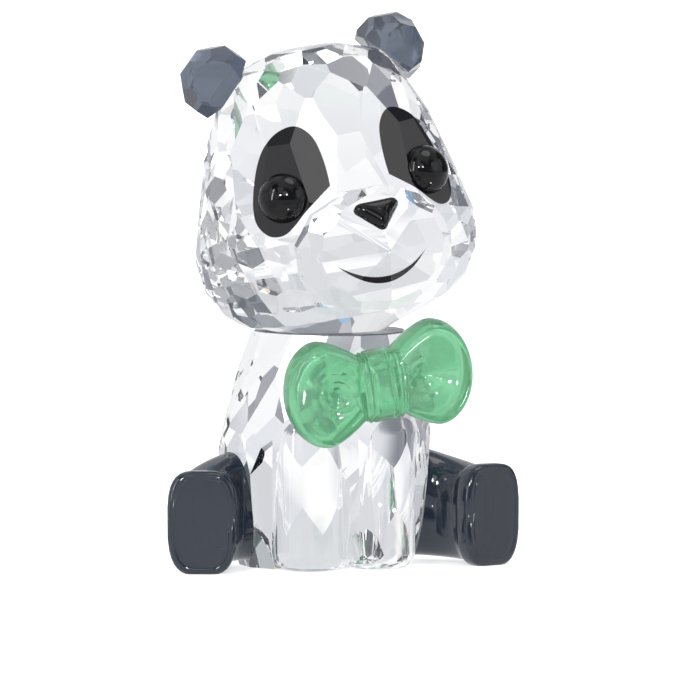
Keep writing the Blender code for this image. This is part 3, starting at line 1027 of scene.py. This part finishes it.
@dataclass
class SolidPiece:
    """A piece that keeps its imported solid's form, faceted or polished smooth.

    Attributes:
        node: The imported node.
        name: Name of the piece.
        finish: Its surface.
        slot: Its material slot.
        flat_angle: Largest angle inside one face.
        smooth: Largest angle that is shaded smooth, in degrees, or None for facets.
    """

    node: str
    name: str
    finish: Finish
    slot: Slot
    flat_angle: float = FLAT_ANGLE
    smooth: float | None = None

    def build(self) -> bpy.types.Object:
        """Make the piece.

        Returns:
            The finished piece.
        """
        piece = solid_copy(self.node, self.name, self.flat_angle)
        if self.smooth is not None:
            smooth_by_angle(piece, self.smooth)
        piece.data.materials.append(self.finish.build())
        hand_over(piece, self.slot, self.node)
        return piece


def soft_step(value: float, width: float) -> float:
    """Smooth step from 0 to 1.

    Args:
        value: How far the step has run.
        width: Where it ends.

    Returns:
        0 up to the start, 1 from the end.
    """
    share = min(1.0, max(0.0, value / width))
    return share * share * (3.0 - 2.0 * share)


def bell(distance: float, reach: float) -> float:
    """Bell curve that is 1 in the middle.

    Args:
        distance: Distance from the middle.
        reach: Where it has fallen to about a third.

    Returns:
        Its height.
    """
    return math.exp(-((distance / reach) ** 2))


def shaped_ball(
    name: str, segments: int, rings: int, surface: Callable[[float, float], Vector], place: Matrix
) -> bpy.types.Object:
    """Shape a ball into another closed form.

    Args:
        name: Name of the piece.
        segments: Meridians of the ball.
        rings: Rings of the ball.
        surface: Gives the point for an angle from the top pole and an angle round it.
        place: Frame of the piece.

    Returns:
        The shaped piece, shaded smooth.
    """
    deselect_all()
    bpy.ops.mesh.primitive_uv_sphere_add(segments=segments, ring_count=rings, radius=1.0)
    piece = bpy.context.object
    piece.name = name
    for vertex in piece.data.vertices:
        polar = math.acos(max(-1.0, min(1.0, vertex.co.z)))
        vertex.co = place @ surface(polar, math.atan2(vertex.co.y, vertex.co.x))
    bpy.ops.object.mode_set(mode="EDIT")
    turn_outwards()
    bpy.ops.object.shade_smooth()
    return piece


@dataclass
class Bow:
    """The pressed glass bow: two dished lobes with creases and a fluted knot with a raised panel.

    Attributes:
        seat: Middle of its back.
        tilt: How far it is turned up to stand against the chest.
        roll: How far it leans.
        half_width: Half of its width.
        half_height: Half of a lobe's height.
        thickness: Thickness of a lobe.
        widest: Where a lobe is highest, from the middle.
        inner: Where a lobe ends inside the knot.
        waist: Half of a lobe's height there.
        taper_end: Turn at which the taper has reached the knot.
        taper_power: How late the taper narrows.
        rim_start: Polar angle at which the rim starts.
        rim_share: Share of a lobe that its rounded rim takes.
        dish: Depth of the dish in a lobe.
        dish_shift: How far the dish is moved towards the knot.
        dimple: Middle of the rings and the pit.
        ring_gap: Distance between two rings.
        ring_depth: Depth of the rings.
        ring_reach: How far the rings reach.
        pit_depth: Depth of the pit.
        pit_reach: Radius of the pit.
        crease_count: Creases all round the knot's end.
        crease_depth: Depth of the creases.
        crease_reach: How far the creases reach.
        relief_edge: Share of the dish over which the relief fades in.
        knot_half_width: Half of the knot's width.
        knot_half_height: Half of its height.
        knot_thickness: Its thickness.
        knot_squareness: How square its section is; 2 is an ellipse.
        knot_end: How blunt its ends are.
        flute_depth: Depth of the flutes.
        flute_gap: Distance between two flutes.
        panel_half_width: Half of the raised panel's width.
        panel_half_height: Half of its height.
        panel_rise: How far it stands out.
        panel_bevel: Width of its bevel.
        lobe_grid: Meridians and rings of a lobe.
        knot_grid: Meridians and rings of the knot.
        smooth: Largest angle that is shaded smooth, in degrees.
    """

    seat: Vector = Vector((1.1, -9.65, 16.93)) * MM
    tilt: float = math.radians(101.3)
    roll: float = math.radians(10.7)
    half_width: float = 8.45 * MM
    half_height: float = 4.7 * MM
    thickness: float = 3.2 * MM
    widest: float = 5.07 * MM
    inner: float = 1.1 * MM
    waist: float = 2.4 * MM
    taper_end: float = math.radians(150)
    taper_power: float = 1.5
    rim_start: float = math.radians(62)
    rim_share: float = 0.15
    dish: float = 1.15 * MM
    dish_shift: float = 1.0 * MM
    dimple: float = 3.9 * MM
    ring_gap: float = 0.85 * MM
    ring_depth: float = 0.05 * MM
    ring_reach: float = 2.2 * MM
    pit_depth: float = 0.45 * MM
    pit_reach: float = 0.45 * MM
    crease_count: int = 7
    crease_depth: float = 0.06 * MM
    crease_reach: float = 1.6 * MM
    relief_edge: float = 0.3
    knot_half_width: float = 2.25 * MM
    knot_half_height: float = 3.1 * MM
    knot_thickness: float = 4.3 * MM
    knot_squareness: float = 2.8
    knot_end: float = 9.0
    flute_depth: float = 0.2 * MM
    flute_gap: float = 0.42 * MM
    panel_half_width: float = 1.0 * MM
    panel_half_height: float = 2.0 * MM
    panel_rise: float = 0.42 * MM
    panel_bevel: float = 0.22 * MM
    lobe_grid: tuple[int, int] = (96, 80)
    knot_grid: tuple[int, int] = (112, 72)
    smooth: float = SMOOTH_DEGREES

    @property
    def place(self) -> Matrix:
        """Frame on the chest: +Z looks forward, +Y is the bow's own up.

        Returns:
            The frame.
        """
        turned = Matrix.Rotation(self.tilt, 4, "X") @ Matrix.Rotation(self.roll, 4, "Z")
        return Matrix.Translation(self.seat) @ turned

    def lobe_outline(self, turn: float) -> tuple[float, float]:
        """Point of a lobe's outline: half an ellipse outside and a taper to the knot inside.

        Args:
            turn: Angle round the lobe; 0 is its outer end.

        Returns:
            Distance from the bow's middle and height.
        """
        quarter = math.pi / 2
        size = abs(turn)
        sign = math.copysign(1.0, turn)
        if size <= quarter:
            reach = (self.half_width - self.widest) * math.cos(size)
            return self.widest + reach, self.half_height * math.sin(turn)
        if size <= self.taper_end:
            share = (size - quarter) / (self.taper_end - quarter)
            x = self.widest + (self.inner - self.widest) * share
            fall = (self.half_height - self.waist) * share ** self.taper_power
            return x, sign * (self.half_height - fall)
        return self.inner, sign * self.waist * (math.pi - size) / (math.pi - self.taper_end)

    def creases(self, x: float, y: float) -> float:
        """Depth of the rings, the pit and the creases on the front of a lobe.

        Args:
            x: Distance from the bow's middle.
            y: Height.

        Returns:
            How far the front sinks there.
        """
        radius = math.hypot(x - self.dimple, y)
        rings = self.ring_depth * math.cos(math.tau * radius / self.ring_gap)
        pit = self.pit_depth * bell(radius, self.pit_reach)
        turn = math.atan2(y, x - self.inner)
        crease = self.crease_depth * math.cos(self.crease_count * turn)
        near_knot = bell(x - self.knot_half_width, self.crease_reach)
        return rings * bell(radius, self.ring_reach) + pit + crease * near_knot

    def lobe_surface(self, side: Side, polar: float, turn: float) -> Vector:
        """Point of a lobe.

        Args:
            side: Which lobe.
            polar: Angle from the middle of the front.
            turn: Angle round the lobe.

        Returns:
            The point in the bow's frame.
        """
        flat = 1.0 - self.rim_share
        half = self.thickness / 2
        depth = 0.0
        if polar < self.rim_start:
            share = flat * polar / self.rim_start
        elif polar <= math.pi - self.rim_start:
            arc = math.pi * (polar - self.rim_start) / (math.pi - 2 * self.rim_start)
            share = flat + self.rim_share * math.sin(arc)
            depth = half + half * math.cos(arc)
        else:
            share = flat * (math.pi - polar) / self.rim_start
        x, y = self.lobe_outline(turn)
        x = self.widest - (1.0 - share) * self.dish_shift + share * (x - self.widest)
        y *= share
        if polar < self.rim_start:
            inward = math.cos(math.pi / 2 * share / flat) ** 2
            relief = self.creases(x, y) * soft_step(inward, self.relief_edge)
            depth = self.thickness - self.dish * inward - relief
        return Vector((side.value * x, y, depth))

    def knot_surface(self, polar: float, turn: float) -> Vector:
        """Point of the knot.

        Args:
            polar: Angle from its end.
            turn: Angle round its axis; 0 is in front.

        Returns:
            The point in the bow's frame.
        """
        along = -math.cos(polar)
        x = self.knot_half_width * along
        girth = max(0.0, 1.0 - abs(along) ** self.knot_end) ** 0.5
        beside = abs(x) - self.panel_half_width
        if beside > 0:
            wave = 0.5 - 0.5 * math.cos(math.tau * beside / self.flute_gap)
            girth -= self.flute_depth / self.knot_half_height * wave * girth
        power = 2.0 / self.knot_squareness
        front = math.copysign(abs(math.cos(turn)) ** power, math.cos(turn)) * girth
        y = math.copysign(abs(math.sin(turn)) ** power, math.sin(turn)) * girth * self.knot_half_height
        depth = self.knot_thickness / 2 * (1.0 + front)
        if front > 0:
            across = soft_step(self.panel_half_width - abs(x), self.panel_bevel)
            upright = soft_step(self.panel_half_height - abs(y), self.panel_bevel)
            depth += self.panel_rise * across * upright
        return Vector((x, y, depth))

    def build(self) -> bpy.types.Object:
        """Make the bow.

        Returns:
            The finished bow.
        """
        bow = shaped_ball("glass_bow", *self.knot_grid, self.knot_surface, self.place)
        for side in Side:
            lobe = shaped_ball(
                f"{side.word}_lobe", *self.lobe_grid,
                lambda polar, turn, side=side: self.lobe_surface(side, polar, turn), self.place,
            )
            activate(bow)
            union = bow.modifiers.new("union", "BOOLEAN")
            union.operation = "UNION"
            union.solver = "EXACT"
            union.object = lobe
            bpy.ops.object.modifier_apply(modifier=union.name)
            bpy.data.objects.remove(lobe)
        smooth_by_angle(bow, self.smooth)
        bow.data.materials.append(GREEN_GLASS.build())
        hand_over(bow, Slot.GREEN, "bow_tie")
        return bow


@dataclass
class Leg:
    """A smooth leg of dark glass whose flat sole is framed by a fine groove.

    Attributes:
        side: The panda's side.
        sole_turn: How far the sole is turned outwards.
        sole_match: How nearly a face has to look the sole's way to be the sole.
        groove: Width and depth of the groove.
        smooth: Largest angle that is shaded smooth, in degrees.
    """

    side: Side
    sole_turn: float = math.radians(20)
    sole_match: float = 0.999
    groove: float = 0.09 * MM
    smooth: float = SMOOTH_DEGREES

    def build(self) -> bpy.types.Object:
        """Make the leg.

        Returns:
            The finished leg.
        """
        node = f"{self.side.word}_leg"
        leg = solid_copy(node, f"polished_{node}", FINE_ANGLE)
        forward = heading(self.side.value * math.degrees(self.sole_turn), 0.0)
        pick_faces(leg, lambda face: face.normal.dot(forward) > self.sole_match)
        for depth in (-self.groove, self.groove):
            bpy.ops.mesh.inset(thickness=self.groove, depth=depth)
        smooth_by_angle(leg, self.smooth)
        leg.data.materials.append(SLATE_GLASS.build())
        hand_over(leg, Slot.SLATE, node)
        return leg


@dataclass
class Nose:
    """The rounded triangular nose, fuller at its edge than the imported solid.

    Attributes:
        steps: Steps from its edge to its top.
        squareness: How full its edge is; 2 is round.
        stand_out: How far it stands out.
        top: Angle at which its top is closed.
        smooth: Largest angle that is shaded smooth, in degrees.
    """

    steps: int = 10
    squareness: float = 2.8
    stand_out: float = 1.0 * MM
    top: float = math.radians(86)
    smooth: float = 50.0

    def build(self) -> bpy.types.Object:
        """Make the nose from the solid's flat seat.

        Returns:
            The finished nose.
        """
        nose = solid_copy("nose", "rounded_nose", FINE_ANGLE)
        seat = max(nose.data.polygons, key=lambda face: face.area)
        seat_index = seat.index
        rim = [nose.data.vertices[number].co.copy() for number in seat.vertices]
        outward = -seat.normal.copy()
        centre = sum(rim, Vector()) / len(rim)
        pick_faces(nose, lambda face: face.index != seat_index)
        bpy.ops.mesh.delete(type="FACE")
        bpy.ops.object.mode_set(mode="OBJECT")
        power = 2.0 / self.squareness
        share, height = 1.0, 0.0
        pick_faces(nose, lambda face: True)
        for step in range(1, self.steps + 1):
            turn = self.top * step / self.steps
            new_share, new_height = math.cos(turn) ** power, math.sin(turn) ** power * self.stand_out
            bpy.ops.mesh.extrude_region_move(
                TRANSFORM_OT_translate={"value": outward * (new_height - height)}
            )
            grow = new_share / share
            middle = centre + outward * new_height
            bpy.ops.transform.resize(value=(grow, grow, grow), center_override=middle)
            share, height = new_share, new_height
        turn_outwards()
        smooth_by_angle(nose, self.smooth)
        nose.data.materials.append(BLACK_BEAD.build())
        hand_over(nose, Slot.BEAD, "nose")
        return nose


def main() -> None:
    """Build the studio and every piece in order."""
    logging.basicConfig(level=logging.INFO, format="%(name)s %(message)s")
    Studio().build()
    Body().build()
    NeckFilm().build()
    Head().build()
    for side in Side:
        ear, eye = f"{side.word}_ear", f"{side.word}_eye"
        SolidPiece(ear, f"faceted_{ear}", SLATE_CRYSTAL, Slot.SLATE).build()
        Leg(side).build()
        SolidPiece(
            eye, f"domed_{eye}", BLACK_BEAD, Slot.BEAD, FINE_ANGLE, SMOOTH_DEGREES
        ).build()
    Nose().build()
    Bow().build()


if __name__ == "__main__":
    main()
